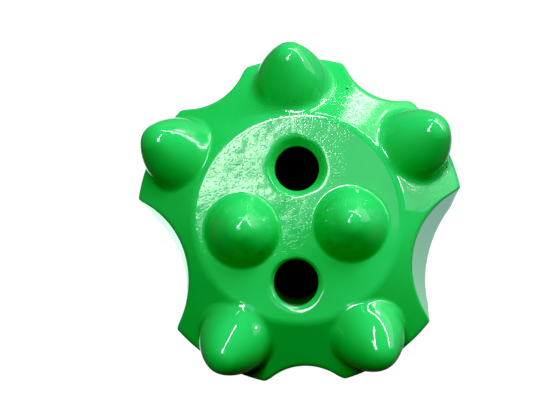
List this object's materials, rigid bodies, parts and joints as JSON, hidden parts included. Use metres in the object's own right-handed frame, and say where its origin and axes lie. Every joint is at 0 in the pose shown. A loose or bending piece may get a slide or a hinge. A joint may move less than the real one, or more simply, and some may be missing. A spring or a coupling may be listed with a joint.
{
  "type": "button drill bit",
  "caption": "Tapered-socket button drill bit: a winged steel head with domed carbide buttons on its flat face and cone, flutes between the wings, flushing holes and a taper socket below.",
  "frame": {"origin": "the bit axis at the end of the skirt, which is the mouth of the tapered socket", "axes": "+Z along the bit axis towards the cutting face, +Y through the wing that stands alone between the small flutes, +X to the right when the face is looked at"},
  "size_m": [0.0394, 0.0405, 0.065],
  "materials": {
    "body_enamel": "gloss enamel over machined steel",
    "button_enamel": "gloss enamel over cemented carbide"
  },
  "bodies": {
    "root": {"bit_body": "body_enamel", "gauge_button_1": "button_enamel", "gauge_button_2": "button_enamel", "gauge_button_3": "button_enamel", "gauge_button_4": "button_enamel", "gauge_button_5": "button_enamel", "front_button_1": "button_enamel", "front_button_2": "button_enamel"}
  },
  "joints": []
}
